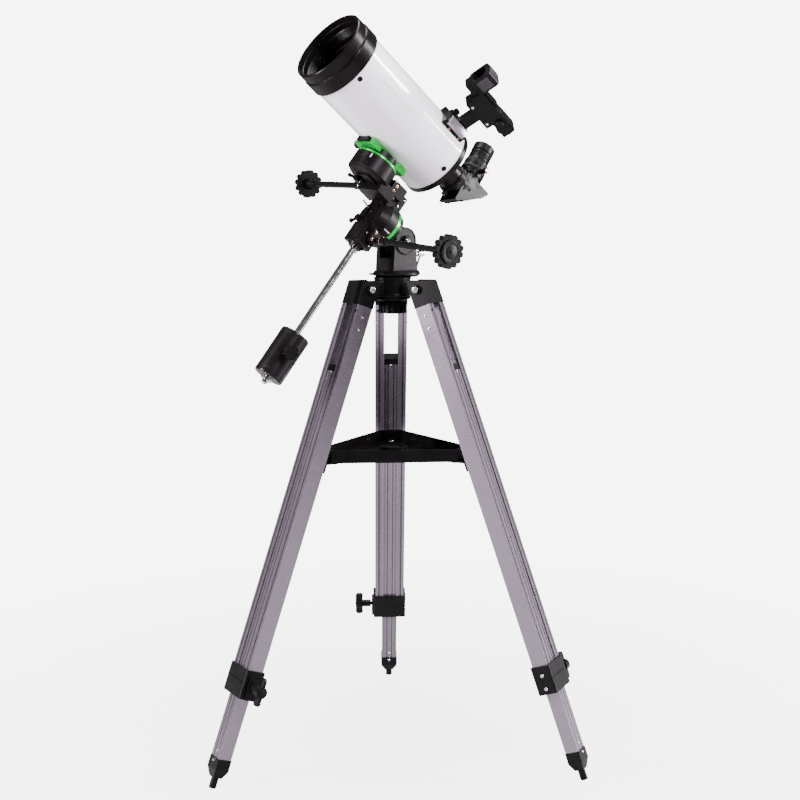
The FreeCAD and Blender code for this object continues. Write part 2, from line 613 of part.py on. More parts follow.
def front_cell():
    """Ring that carries the corrector lens, with a short dew shield."""
    z = TUBE_FRONT
    inner = TUBE_RADIUS - TUBE_WALL - 0.05
    outline = [(APERTURE - 2, z - 14), (inner, z - 14), (inner, z + 0.05), (58.8, z + 0.05),
               (58.8, z + 20), (57.8, z + 22), (56.8, z + 22.5), (56.8, z + 25), (57.5, z + 25.5),
               (57.5, FRONT_END - 1.2),
               (56.5, FRONT_END), (54.2, FRONT_END), (53.6, FRONT_END - 8),
               (DEW_BORE, FRONT_END - 8.5), (DEW_BORE, z + 8),
               (APERTURE + 0.2, z + 8), (APERTURE + 0.2, z - LENS_SEAT), (APERTURE - 2, z - LENS_SEAT)]
    return put(TUBE_FRAME, spun(outline))


def bowed(radius, hole, height, bow, flat):
    """Annular disc between z = flat and a spherical face that dips by bow at its middle."""
    sphere = (radius ** 2 + bow ** 2) / (2 * bow)
    dip = height + sphere - bow
    blank = disc(radius, flat, height) if hole == 0 else ring(radius, hole, flat, height)
    return blank.cut(Part.makeSphere(sphere, V(0, 0, dip)))


def corrector_lens():
    """Meniscus with its hollow side outward."""
    low = TUBE_FRONT - LENS_SEAT + 0.7
    bow, thick = 7.5, 9.0
    shell = bowed(APERTURE, 0, low + thick, bow, low - bow)
    sphere = (APERTURE ** 2 + bow ** 2) / (2 * bow)
    return put(TUBE_FRAME, shell.common(Part.makeSphere(sphere, V(0, 0, low + sphere - bow))))


def secondary_baffle():
    """Cone-shaped baffle around the silvered spot behind the corrector."""
    z = TUBE_FRONT - LENS_SEAT - 7.0
    return put(TUBE_FRAME, spun([(13.5, z - 14), (15, z - 14), (15.5, z - 0.2), (13.5, z - 0.2)]))


def rear_cell():
    inner = TUBE_RADIUS - TUBE_WALL - 0.05
    z, face = TUBE_REAR, REAR_FACE
    body = spun([(21, face), (53, face), (57.3, face + 3.5), (57.3, z - 0.05), (inner, z - 0.05),
                 (inner, z + 9), (inner - 3, z + 9), (inner - 3, face + 4), (21, face + 4)])
    body = body.fuse(ring(21.1, 12.05, face + 1, face + 4))
    focus = focus_place()
    body = body.fuse(disc(11, face - 3, face + 4, *focus)).cut(disc(4.05, face - 10, face + 10, *focus))
    return put(TUBE_FRAME, body.removeSplitter())


def focus_place():
    turn = math.radians(FOCUS_TURN)
    return 38 * math.cos(turn), 38 * math.sin(turn)


def baffle_tube():
    base = REAR_FACE + 1
    return put(TUBE_FRAME, spun([(10.6, base), (12, base), (12, 10), (10, 44), (9, 44), (10.6, 10)]))


def primary_mirror():
    """Mirror on its carriage, which slides on the baffle tube."""
    z, radius = MIRROR_BACK, 51.5
    mirror = bowed(radius, 16.1, z + 13, 5.0, z)
    x, y = focus_place()
    carriage = joined([ring(26, 12.06, z - 7, z - 0.1), ring(16, 12.06, z - 1, z + 26)])
    arm = put(turned(FOCUS_TURN), block(14, 44, -6, 6, z - 7, z - 2))
    arm = arm.fuse(disc(5, z - 22, z - 2, x, y)).cut(disc(2.56, z - 23, z, x, y))
    return put(TUBE_FRAME, Part.makeCompound([mirror, joined([carriage, arm])]))


def focus_knob():
    """Knob and its threaded rod, parallel to the tube."""
    x, y = focus_place()
    face = REAR_FACE
    body = joined([disc(2.5, face - 6, MIRROR_BACK - 8.5), disc(4.0, face - 6, face + 2.5),
                   lobed(12, 1.6, 24, face - 22, face - 4)])
    return put(TUBE_FRAME, body.translated(V(x, y, 0)))


def visual_back():
    """Flanged tube on the rear cell that holds the diagonal's nose."""
    z = REAR_FACE
    ring_front = BACK_END + 12
    body = spun([(16.1, BACK_END), (22.5, BACK_END), (23.2, BACK_END + 1), (23.2, ring_front),
                 (21, ring_front + 1), (21, z - 5), (26, z - 4.5), (26, z - 0.1), (20.9, z - 0.1),
                 (20.9, z + 0.9), (16.1, z + 0.9)])
    for turn in BACK_SCREWS:
        body = body.cut(put(turned(turn), rod(2.05, (14, 0, BACK_END + 6), (30, 0, BACK_END + 6))))
    return put(TUBE_FRAME, body)


def thumbscrew_frame(turn):
    """Z out along a screw of the visual back."""
    at = placement(V(16.3, 0, BACK_END + 6), V(0, 0, -1), V(0, 1, 0), V(1, 0, 0))
    return TUBE_FRAME.multiply(turned(turn)).multiply(at)


def thumbscrew():
    return joined([disc(2.0, 0, 10), disc(4.4, 7.2, 13)])


def eyepiece_frame():
    """Origin where the tube axis meets the eyepiece axis, Z up the eyepiece, Y forward."""
    turn = turned(DIAGONAL_TURN, at=(0, 0, DIAGONAL_AXIS))
    up = placement(V(0, 0, 0), V(-1, 0, 0), V(0, 0, 1), V(0, 1, 0))
    return TUBE_FRAME.multiply(turn).multiply(up)


def star_diagonal():
    """Mirror box with a nose in the visual back and a socket for the eyepiece."""
    half, nose_end = 18.0, BACK_END - DIAGONAL_AXIS
    tip = half - 5 + COVER_DEPTH * math.sqrt(2)
    lay = placement(V(0, 0, 0), V(0, 1, 0), V(0, 0, 1), V(1, 0, 0))
    wedge = [(half, half), (half, -tip), (half - 5, -tip), (-tip, half - 5), (-tip, half)]
    body = put(lay, prism(wedge, -half, half))
    body = joined([body, rod(16.0, (0, 0, 0), (0, nose_end + 26, 0)),
                   rod(19, (0, 0, 0), (0, nose_end - 0.3, 0)),
                   disc(17.8, 0, 30), disc(19.5, 24, 40)])
    body = body.cut(rod(14, (0, 0, 0), (0, 70, 0))).cut(disc(14, 0, 20)).cut(disc(16.05, 18, 50))
    body = body.cut(put(lay, prism([(17, -14), (14, -23), (-23, 14), (-14, 17)], -15, 15)))
    return put(eyepiece_frame(), body.cut(rod(2.05, (-10, 0, 34), (-30, 0, 34))).removeSplitter())


def diagonal_cover():
    """Backing plate of the diagonal."""
    slope = math.sqrt(0.5)
    lean = placement(V(0, 0, 0), V(1, 0, 0), V(0, -slope, slope), V(0, -slope, -slope))
    plate = rounded(2, 20, 25, COVER_DEPTH + 0.1, COVER_DEPTH + 2.2)
    return put(eyepiece_frame().multiply(lean), plate)


def eyepiece_screw():
    """Thumbscrew that locks the eyepiece."""
    at = placement(V(-16.3, 0, 34), V(0, 0, 1), V(0, 1, 0), V(-1, 0, 0))
    return put(eyepiece_frame().multiply(at), joined([disc(2.0, 0, 6), disc(4.2, 3.4, 9)]))


def eyepiece():
    top = EYECUP_TOP
    outline = [(0, 21), (15.97, 21), (15.97, 40.2), (18.5, 40.2), (18.5, 52), (16.5, 56),
               (16.0, top - 14), (17.2, top - 12), (17.2, top), (13, top), (10.5, top - 7), (0, top - 7)]
    return put(eyepiece_frame(), spun(outline))


# ---------------------------------------------------------------- finder
def finder_frame():
    """Origin on the tube axis, Z forward, Y straight out to the finder."""
    return TUBE_FRAME.multiply(turned(-FINDER_TURN))


def finder_bracket():
    """Foot for the shoe on the tube, with the stalk and the rail under the finder."""
    shoe = block(-17, 17, 46, 64, -69, -24).cut(disc(TUBE_RADIUS + 0.05, -100, 0))
    upper = prism([(-12, 63), (12, 63), (9, 71), (-9, 71)], -66, -30)
    stalk = block(-6, 6, 70, 100, -63, -45)
    rail = block(-12, 12, 97, 107.8, -79, -27)
    return put(finder_frame(), joined([shoe, upper, stalk, rail]))


def finder_body():
    """Housing with the lamp and battery behind and the window hood in front."""
    base = block(-12, 12, 108, 127, -107, -24)
    hood = rounded(6, 15, 17, -27, -3).translated(V(0, FINDER_WINDOW, 0))
    body = joined([base, hood, block(-10, 10, 114, FINDER_WINDOW, -27, -3)])
    body = body.cut(disc(11.5, -40, 10, 0, FINDER_WINDOW)).cut(disc(4, -112, -98, 0, 117))
    return put(finder_frame(), body.removeSplitter())


def finder_switch():
    """Brightness dial at the back of the finder."""
    dial = joined([disc(3.94, -109.4, -99), lobed(8, 1.2, 18, -110.2, -107.2)])
    return put(finder_frame(), dial.translated(V(0, 117, 0)))


# ---------------------------------------------------------------- assembly
def build():
    makers = [tripod_hub, accessory_tray, tray_arms, azimuth_knob, mount_base, altitude_bolt,
              latitude_housing, altitude_pivot, ra_setting_circle, ra_body, ra_handle, dec_handle,
              counterweight_shaft, shaft_stop, counterweight, counterweight_knob, dec_setting_circle,
              dec_table, saddle, saddle_screw, dovetail_bar, optical_tube, front_cell, corrector_lens,
              secondary_baffle, rear_cell, baffle_tube, primary_mirror, focus_knob, visual_back,
              star_diagonal, diagonal_cover, eyepiece_screw, eyepiece, finder_bracket, finder_body,
              finder_switch]
    nodes = {maker.__name__: maker() for maker in makers}
    nodes["leg_hinge_bolts"] = hinge_bolts()
    for name, azimuth in LEG_AZIMUTHS.items():
        nodes["leg_bracket_" + name] = leg_bracket(azimuth)
        nodes["leg_rails_" + name] = leg_rails(azimuth)
        nodes["leg_clamp_" + name] = leg_clamp(azimuth)
        nodes["clamp_wing_screw_" + name] = clamp_wing_screw(azimuth)
        nodes["inner_leg_" + name] = inner_leg(azimuth)
        nodes["inner_leg_ends_" + name] = inner_leg_ends(azimuth)
    for number, turn in enumerate(BACK_SCREWS, 1):
        nodes["back_thumbscrew_%d" % number] = put(thumbscrew_frame(turn), thumbscrew())
    for name, frame in lever_places().items():
        nodes[name] = put(frame, lock_lever())
    return nodes


def origin_shift(nodes):
    """From the tripod's axis to the middle of the bounding box, at ground height."""
    whole = FreeCAD.BoundBox()
    for shape in nodes.values():
        whole.add(shape.optimalBoundingBox(False))
    return V(-whole.Center.x, -whole.Center.y, -whole.ZMin)


NODES = build()
SHIFT = origin_shift(NODES)
os.makedirs("parts", exist_ok=True)
for node, shape in NODES.items():
    shape.translated(SHIFT).exportStep("parts/%s.step" % node)
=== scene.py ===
import json
import math

import bmesh
import bpy
from mathutils import Matrix, Vector


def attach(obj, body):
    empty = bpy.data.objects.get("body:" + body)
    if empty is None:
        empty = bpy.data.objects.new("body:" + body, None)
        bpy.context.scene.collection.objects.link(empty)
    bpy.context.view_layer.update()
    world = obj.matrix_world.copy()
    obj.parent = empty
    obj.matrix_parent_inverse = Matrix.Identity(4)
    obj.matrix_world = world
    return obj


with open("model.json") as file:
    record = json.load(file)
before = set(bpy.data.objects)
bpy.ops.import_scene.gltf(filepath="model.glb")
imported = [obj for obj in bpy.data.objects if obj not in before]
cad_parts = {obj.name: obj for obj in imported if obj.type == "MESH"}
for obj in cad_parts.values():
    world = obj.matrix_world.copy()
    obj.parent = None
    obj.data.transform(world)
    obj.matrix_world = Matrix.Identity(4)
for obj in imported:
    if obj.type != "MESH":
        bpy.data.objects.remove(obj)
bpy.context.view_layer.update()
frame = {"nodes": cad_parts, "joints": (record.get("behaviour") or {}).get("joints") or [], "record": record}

MM = 0.001
NODES = frame["nodes"]
JOINTS = {joint["name"]: joint for joint in frame["joints"]}
LEGS = ("rear", "left", "right")


# ---------------------------------------------------------------- frames, in metres
def direction(joint):
    return Vector(JOINTS[joint]["axis"]).normalized()


def place(joint):
    return Vector(JOINTS[joint]["pos_m"])


def axes(origin, x, y, z):
    return Matrix(((x.x, y.x, z.x, origin.x), (x.y, y.y, z.y, origin.y),
                   (x.z, y.z, z.z, origin.z), (0, 0, 0, 1)))


def at(base, x=0.0, y=0.0, z=0.0, up=(0, 0, 1), side=None):
    """Frame inside a frame: origin in millimetres, Z along up."""
    z_axis = Vector(up).normalized()
    hint = Vector(side) if side else (Vector((1, 0, 0)) if abs(z_axis.x) < 0.9 else Vector((0, 1, 0)))
    y_axis = z_axis.cross(hint).normalized()
    return base @ axes(Vector((x, y, z)) * MM, y_axis.cross(z_axis), y_axis, z_axis)


def spun_about(base, degrees, axis="Z"):
    return base @ Matrix.Rotation(math.radians(degrees), 4, axis)


POLE, DEC, TUBE = direction("ra"), direction("dec"), direction("tube_slide")
EAST = DEC.cross(POLE)
SHAFT_LEVEL = 55.6           # the RA joint's place, along the polar axis from the pivot
DEC_LEVEL = 105.0
DEC_TOP = 61.5
BACK_END = -133.0            # the diagonal's joint, along the tube
TUBE_SKIN = 56.2             # radius that the tube's screws stand on
CIRCLE_RADIUS = 33.0
HANDLE_REACH = 196.0         # from a worm's axis to its knob's face
WEIGHT_MIDDLE = -250.0       # along the dec axis
SHAFT_TIP = -296.0
CLAMP_SCREW = 602.0          # down the leg from its hinge bolt
CLAMP_RIB = 600.0
WING_OFFSET = 40.0           # wing screw's joint, from the leg's middle
RAIL_SIDE, RAIL_FACE = 24.5, 12.0    # outer leg's side and face, from its middle
INNER_FACE = 10.2
TRAY_FLOOR, TRAY_SCREW = 464.0, 103.0
PIVOT = place("altitude")
RA = axes(PIVOT, EAST, DEC, POLE)
DEC_AXIS = axes(PIVOT + POLE * DEC_LEVEL * MM, TUBE, DEC.cross(TUBE), DEC)
OTA = axes(place("diagonal_turn") - TUBE * BACK_END * MM, DEC.cross(TUBE), DEC, TUBE)
TRIPOD = Vector((place("azimuth").x, place("azimuth").y, 0.0))
EYEPIECE = axes(place("diagonal_turn") - TUBE * 18.5 * MM, direction("eyepiece_slide").cross(TUBE) * -1,
                TUBE, direction("eyepiece_slide"))


def leg_frame(leg):
    """Z up the leg, Y out of its outer face, origin at its hinge bolt."""
    up = direction("leg_slide_" + leg) * -1
    x = direction("clamp_wing_screw_%s_turn" % leg) * -1
    origin = place("clamp_wing_screw_%s_turn" % leg) + (x * WING_OFFSET + up * CLAMP_SCREW) * MM
    return axes(origin, x, up.cross(x), up)


# ---------------------------------------------------------------- materials
def new_material(name):
    material = bpy.data.materials.new(name)
    material.use_nodes = True
    tree = material.node_tree
    return material, tree.nodes, tree.links, tree.nodes["Principled BSDF"]


def noise(nodes, links, scale, detail=4.0, stretch=None):
    coords = nodes.new("ShaderNodeTexCoord")
    texture = nodes.new("ShaderNodeTexNoise")
    texture.inputs["Scale"].default_value = scale
    texture.inputs["Detail"].default_value = detail
    source = coords.outputs["Object"]
    if stretch:
        mapping = nodes.new("ShaderNodeMapping")
        mapping.inputs["Scale"].default_value = stretch
        links.new(source, mapping.inputs["Vector"])
        source = mapping.outputs["Vector"]
    links.new(source, texture.inputs["Vector"])
    return texture.outputs["Fac"]


def spread(nodes, links, value, low, high):
    ranged = nodes.new("ShaderNodeMapRange")
    ranged.inputs["From Min"].default_value = 0.3
    ranged.inputs["From Max"].default_value = 0.7
    ranged.inputs["To Min"].default_value = low
    ranged.inputs["To Max"].default_value = high
    links.new(value, ranged.inputs["Value"])
    return ranged.outputs["Result"]


def surface(name, dark, light, rough, metal=0.0, grain=900.0, bump=0.1, mottle=35.0, coat=0.0,
            edge=0.0004, depth=0.0001, specular=0.10):
    """A finish with mottled colour, uneven gloss, a fine grain and softened edges."""
    material, nodes, links, shader = new_material(name)
    cloud = noise(nodes, links, mottle)
    ramp = nodes.new("ShaderNodeValToRGB")
    ramp.color_ramp.elements[0].position = 0.35
    ramp.color_ramp.elements[1].position = 0.68
    ramp.color_ramp.elements[0].color = (*dark, 1)
    ramp.color_ramp.elements[1].color = (*light, 1)
    links.new(cloud, ramp.inputs["Fac"])
    links.new(ramp.outputs["Color"], shader.inputs["Base Color"])
    links.new(spread(nodes, links, noise(nodes, links, mottle * 2.3), *rough), shader.inputs["Roughness"])
    shader.inputs["Metallic"].default_value = metal
    shader.inputs["Coat Weight"].default_value = coat
    shader.inputs["Coat Roughness"].default_value = 0.06
    shader.inputs["Specular IOR Level"].default_value = specular
    bumps = nodes.new("ShaderNodeBump")
    bumps.inputs["Strength"].default_value = bump
    bumps.inputs["Distance"].default_value = depth
    links.new(noise(nodes, links, grain, 2.0), bumps.inputs["Height"])
    if edge:
        soft = nodes.new("ShaderNodeBevel")
        soft.samples = 4
        soft.inputs["Radius"].default_value = edge
        links.new(soft.outputs["Normal"], bumps.inputs["Normal"])
    links.new(bumps.outputs["Normal"], shader.inputs["Normal"])
    return material


# painted highlights and painted shade across the extrusions' broad faces (bright at the groove edges, dark in
# the grooves and at a gap): half width in mm from the leg's middle, brightness
LEG_PAINTED_LIGHT = ((0, 0.95), (3.3, 1.1), (3.5, 0.45), (5.5, 0.45), (5.7, 1.5), (7.5, 0.9), (10.6, 0.8),
             (10.8, 0.25),
             (11.2, 1.5), (12.6, 1.0), (17.3, 0.9), (17.6, 0.4), (20.0, 0.4), (20.3, 1.5), (22.0, 1.0),
             (25, 1.0))


def extruded(name, leg):
    """Satin anodised aluminium drawn along one leg: streaks and fine ribs follow the leg, and so do painted
    highlights at the groove edges and painted shade in the grooves.
    """
    material = surface(name, (0.215, 0.183, 0.222), (0.225, 0.192, 0.232), (0.27, 0.29), metal=0.8, bump=0.01,
                       edge=0)
    nodes, links = material.node_tree.nodes, material.node_tree.links
    shader = nodes["Principled BSDF"]
    base = leg_frame(leg)
    across = base.to_3x3().col[0]
    coords, dot = nodes.new("ShaderNodeTexCoord"), nodes.new("ShaderNodeVectorMath")
    dot.operation = "DOT_PRODUCT"
    dot.inputs[1].default_value = across
    links.new(coords.outputs["Object"], dot.inputs[0])
    centred, half = nodes.new("ShaderNodeMath"), nodes.new("ShaderNodeMath")
    centred.operation, half.operation = "SUBTRACT", "ABSOLUTE"
    centred.inputs[1].default_value = base.translation.dot(across)
    links.new(dot.outputs["Value"], centred.inputs[0])
    links.new(centred.outputs["Value"], half.inputs[0])
    ribs = nodes.new("ShaderNodeTexNoise")
    ribs.noise_dimensions = "1D"
    ribs.inputs["Scale"].default_value = 420.0
    links.new(dot.outputs["Value"], ribs.inputs["W"])
    # painted highlights and painted groove shade, as a brightness curve across the face
    painted_light_curve = nodes.new("ShaderNodeFloatCurve")
    width = nodes.new("ShaderNodeMapRange")
    width.inputs["From Max"].default_value = 25.0 * MM
    links.new(half.outputs["Value"], width.inputs["Value"])
    curve = painted_light_curve.mapping.curves[0]
    for place_mm, level in LEG_PAINTED_LIGHT[1:-1]:
        curve.points.new(place_mm / 25.0, level / 2)
    curve.points[0].location = (0, LEG_PAINTED_LIGHT[0][1] / 2)
    curve.points[-1].location = (1, LEG_PAINTED_LIGHT[-1][1] / 2)
    for point in curve.points:
        point.handle_type = "VECTOR"
    painted_light_curve.mapping.update()
    links.new(width.outputs["Result"], painted_light_curve.inputs["Value"])
    level = nodes.new("ShaderNodeMath")
    level.operation = "MULTIPLY"
    links.new(painted_light_curve.outputs["Value"], level.inputs[0])
    links.new(spread(nodes, links, ribs.outputs["Fac"], 1.9, 2.12), level.inputs[1])
    # base colour scaled by the painted highlights and shade and by the ribs
    tint = nodes.new("ShaderNodeVectorMath")
    tint.operation = "SCALE"
    plain = shader.inputs["Base Color"].links[0].from_socket
    links.new(plain, tint.inputs[0])
    links.new(level.outputs["Value"], tint.inputs["Scale"])
    links.new(tint.outputs["Vector"], shader.inputs["Base Color"])
    bumps = nodes.new("ShaderNodeBump")
    bumps.inputs["Strength"].default_value = 0.1
    bumps.inputs["Distance"].default_value = 0.0001
    links.new(ribs.outputs["Fac"], bumps.inputs["Height"])
    links.new(shader.inputs["Normal"].links[0].from_socket, bumps.inputs["Normal"])
    links.new(bumps.outputs["Normal"], shader.inputs["Normal"])
    return material


def lens(name, tint, rough=0.02):
    material, nodes, links, shader = new_material(name)
    shader.inputs["Base Color"].default_value = (*tint, 1)
    shader.inputs["Transmission Weight"].default_value = 1.0
    shader.inputs["Thin Film Thickness"].default_value = 380.0
    shader.inputs["Thin Film IOR"].default_value = 1.38
    links.new(spread(nodes, links, noise(nodes, links, 60.0), rough, rough + 0.03),
              shader.inputs["Roughness"])
    return material


INK = ((0.0028, 0.0020, 0.0026), (0.0050, 0.0038, 0.0047))       # anodised and painted black
MOULDED = ((0.0024, 0.0020, 0.0023), (0.0042, 0.0036, 0.0041))   # black plastic
WHITE = surface("white_gloss", (0.86, 0.81, 0.87), (0.90, 0.85, 0.91), (0.13, 0.18), coat=0.8,
                grain=260.0, bump=0.04, mottle=6.0, edge=0, specular=0.5)
CELL = surface("black_cell", *INK, (0.26, 0.30), grain=1500.0, bump=0.05)
CASTING = surface("black_casting", *INK, (0.34, 0.40), grain=1100.0, bump=0.12)
PLASTIC = surface("black_plastic", *MOULDED, (0.30, 0.36), grain=1400.0, bump=0.06, edge=0)
SATIN = surface("leg_plastic", *MOULDED, (0.38, 0.44), grain=1600.0, bump=0.12)
RUBBER = surface("rubber", *MOULDED, (0.45, 0.52), grain=1800.0, bump=0.15, edge=0)
TRAY = surface("tray_gloss", *MOULDED, (0.14, 0.18), grain=500.0, bump=0.04)
GREEN = surface("green_anodised", (0.004, 0.32, 0.035), (0.012, 0.44, 0.06), (0.20, 0.30), metal=0.5,
                grain=2500.0, bump=0.08, mottle=50.0)
STEEL = surface("steel", (0.62, 0.60, 0.63), (0.70, 0.68, 0.71), (0.10, 0.18), metal=1.0, grain=2000.0,
                bump=0.0, edge=0)
COPPER = surface("copper_screw", (0.30, 0.17, 0.10), (0.48, 0.30, 0.19), (0.2, 0.34), metal=1.0,
                 grain=2000.0, edge=0)
PLATE = surface("satin_plate", (0.30, 0.27, 0.31), (0.42, 0.39, 0.43), (0.25, 0.36), metal=0.9, grain=2400.0)
WEIGHT = surface("weight_paint", *INK, (0.27, 0.31), grain=900.0, bump=0.05, edge=0, specular=0.2)
MARK = surface("white_mark", (0.45, 0.45, 0.48), (0.65, 0.65, 0.68), (0.4, 0.5), edge=0)
GLASS = lens("corrector_glass", (0.55, 0.62, 0.60))
EYE_GLASS = lens("eyepiece_glass", (0.45, 0.40, 0.60))
MIRROR = surface("mirror_coat", (0.80, 0.82, 0.84), (0.86, 0.87, 0.88), (0.01, 0.03), metal=1.0,
                 bump=0.0, edge=0)
DARK = surface("recess_black", *MOULDED, (0.5, 0.6), edge=0)
DARK_MARK = surface("scale_mark", (0.006, 0.02, 0.008), (0.012, 0.03, 0.012), (0.4, 0.5), edge=0)
GLOSS = surface("gloss_plastic", (0.03, 0.026, 0.032), (0.045, 0.04, 0.047), (0.10, 0.16), grain=800.0,
                bump=0.06, edge=0)
STRIPE = surface("green_line", (0.30, 0.38, 0.28), (0.40, 0.48, 0.36), (0.3, 0.4), edge=0)

FINISHES = {
    "white_paint": WHITE, "black_cell": CELL, "black_casting": CASTING, "black_plastic": PLASTIC,
    "tray_plastic": TRAY, "green_anodised": GREEN, "chrome": STEEL, "cast_weight": WEIGHT,
    "lever_metal": CASTING, "screw_steel": CASTING, "cover_plate": CELL, "lens_glass": GLASS,
    "mirror_glass": MIRROR}


def dress_cad():
    slots = {part["node"]: part["material_slot"] for part in frame["record"]["subparts"]}
    for name, node in NODES.items():
        material = FINISHES.get(slots[name])
        for leg in LEGS:
            if slots[name] == "leg_aluminium" and name.endswith(leg):
                material = LEG_METAL[leg]
        if name.startswith(("leg_bracket", "leg_clamp", "inner_leg_ends", "clamp_wing")):
            material = SATIN
        for slot in node.material_slots:
            slot.material = material


LEG_METAL = {leg: extruded("leg_metal_" + leg, leg) for leg in LEGS}
dress_cad()


# ---------------------------------------------------------------- mesh tools, in millimetres
def finished(name, shape, base, material, body, angle=32):
    """Turns a bmesh built in a frame into a shown piece that rides on a body."""
    mesh = bpy.data.meshes.new(name)
    bmesh.ops.recalc_face_normals(shape, faces=shape.faces)
    shape.to_mesh(mesh)
    shape.free()
    return shown(name, mesh, base, material, body, angle)


def shown(name, mesh, base, material, body, angle=32):
    mesh.transform(base @ Matrix.Scale(MM, 4))
    mesh.materials.append(material)
    mesh.shade_smooth()
    mesh.set_sharp_from_angle(angle=math.radians(angle))
    piece = bpy.data.objects.new(name, mesh)
    bpy.context.collection.objects.link(piece)
    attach(piece, body)
    return piece


def lathed(outline, segments=48):
    """Surface of revolution about Z from (radius, height) points; repeat the first point for a ring."""
    shape = bmesh.new()
    rows = []
    for radius, z in outline:
        count = segments if radius > 1e-6 else 1
        turns = [2 * math.pi * k / segments for k in range(count)]
        rows.append([shape.verts.new((radius * math.cos(t), radius * math.sin(t), z)) for t in turns])
    for low, high in zip(rows, rows[1:]):
        for k in range(segments):
            loop = [low[k % len(low)], low[(k + 1) % len(low)], high[(k + 1) % len(high)],
                    high[k % len(high)]]
            corners = list(dict.fromkeys(loop))
            if len(corners) > 2:
                shape.faces.new(corners)
    bmesh.ops.remove_doubles(shape, verts=shape.verts, dist=1e-4)
    return shape


def extruded_outline(points, z0, z1, bevel=0.0):
    shape = bmesh.new()
    face = shape.faces.new([shape.verts.new((x, y, z0)) for x, y in points])
    moved = bmesh.ops.extrude_face_region(shape, geom=[face])["geom"]
    for vertex in (item for item in moved if isinstance(item, bmesh.types.BMVert)):
        vertex.co.z = z1
    if bevel:
        bmesh.ops.bevel(shape, geom=shape.edges[:], offset=bevel, segments=2, affect="EDGES", profile=0.5)
    return shape


def slab(x0, x1, y0, y1, z0, z1, bevel=0.4):
    return extruded_outline([(x0, y0), (x1, y0), (x1, y1), (x0, y1)], z0, z1, bevel)


def toothed(outer, inner, depth, count, z0, z1):
    """Ring with straight ribs around it."""
    rows = []
    shape = bmesh.new()
    for z, sink in ((z0, depth), (z0 + depth, 0.0), (z1 - depth, 0.0), (z1, depth)):
        row = []
        for k in range(count * 4):
            turn = 2 * math.pi * k / (count * 4)
            radius = outer - (depth if k % 4 in (2, 3) else sink * 0.999)
            row.append(shape.verts.new((radius * math.cos(turn), radius * math.sin(turn), z)))
        rows.append(row)
    for z in (z1, z0):
        turns = [2 * math.pi * k / (count * 4) for k in range(count * 4)]
        rows.append([shape.verts.new((inner * math.cos(t), inner * math.sin(t), z)) for t in turns])
    rows.append(rows[0])
    for low, high in zip(rows, rows[1:]):
        for k in range(count * 4):
            shape.faces.new((low[k], low[(k + 1) % len(low)], high[(k + 1) % len(low)], high[k]))
    return shape


HEADS = {}


def carved(body, cutter):
    """Mesh of one bmesh with another cut out of it."""
    pair = []
    for shape in (body, cutter):
        bmesh.ops.recalc_face_normals(shape, faces=shape.faces)
        mesh = bpy.data.meshes.new("blank")
        shape.to_mesh(mesh)
        shape.free()
        pair.append(bpy.data.objects.new("blank", mesh))
        bpy.context.collection.objects.link(pair[-1])
    cut = pair[0].modifiers.new("cut", "BOOLEAN")
    cut.operation, cut.solver, cut.object = "DIFFERENCE", "EXACT", pair[1]
    graph = bpy.context.evaluated_depsgraph_get()
    mesh = bpy.data.meshes.new_from_object(pair[0].evaluated_get(graph))
    for blank in pair:
        bpy.data.objects.remove(blank)
    return mesh


def head_mesh(radius, height, drive):
    """Screw head standing on z = 0: cross and slot drives are domed, hex is a cap head."""
    key = (radius, height, drive)
    if key not in HEADS:
        if drive == "hex":
            outline = [(0, -0.4), (radius, -0.4), (radius, height * 0.85), (radius * 0.9, height),
                       (0, height)]
            sides = [(0.55 * radius * math.cos(k * math.pi / 3), 0.55 * radius * math.sin(k * math.pi / 3))
                     for k in range(6)]
            cutter = extruded_outline(sides, height * 0.35, height + 1)
        else:
            outline = [(0, -0.4), (radius, -0.4), (radius, height * 0.3), (radius * 0.86, height * 0.72),
                       (radius * 0.5, height * 0.95), (0, height)]
            half = radius * 0.13
            reach = radius * (0.62 if drive == "cross" else 1.2)
            bars = [(-reach, -half), (-half, -half), (-half, -reach), (half, -reach), (half, -half),
                    (reach, -half),
                    (reach, half), (half, half), (half, reach), (-half, reach), (-half, half), (-reach, half)]
            if drive == "slot":
                bars = [(-reach, -half), (reach, -half), (reach, half), (-reach, half)]
            cutter = extruded_outline(bars, height * 0.4, height + 1)
        HEADS[key] = carved(lathed(outline, 28), cutter)
    return HEADS[key].copy()


def screw(name, base, radius, height, material, body, drive="cross", turn=20):
    shown(name, head_mesh(radius, height, drive), spun_about(base, turn), material, body, 25)


def bead(name, base, outline, material, body, segments=48):
    return finished(name, lathed(outline, segments), base, material, body)


def washer(name, base, radius, thick, material, body):
    bead(name, base, [(0, 0), (radius, 0), (radius, thick * 0.7), (radius - 0.3, thick), (0, thick)],
         material, body, 32)


def tick_ring(name, base, radius, z0, z1, count, major, body):
    """Scale marks around a rim: every major-th one is full width."""
    shape = bmesh.new()
    for k in range(count):
        turn = 2 * math.pi * k / count
        high = z1 if k % major == 0 else (z0 + z1) / 2
        half = 0.22 if k % major else 0.32
        corners = []
        for r in (radius - 0.3, radius + 0.04):
            for side, z in ((-half, z0), (half, z0), (half, high), (-half, high)):
                corners.append(shape.verts.new((r * math.cos(turn) - side * math.sin(turn),
                                                r * math.sin(turn) + side * math.cos(turn), z)))
        a, b = corners[:4], corners[4:]
        for quad in ((b[0], b[1], b[2], b[3]), (a[0], a[1], b[1], b[0]), (a[1], a[2], b[2], b[1]),
                     (a[2], a[3], b[3], b[2]), (a[3], a[0], b[0], b[3])):
            shape.faces.new(quad)
    return finished(name, shape, base, DARK_MARK, body)


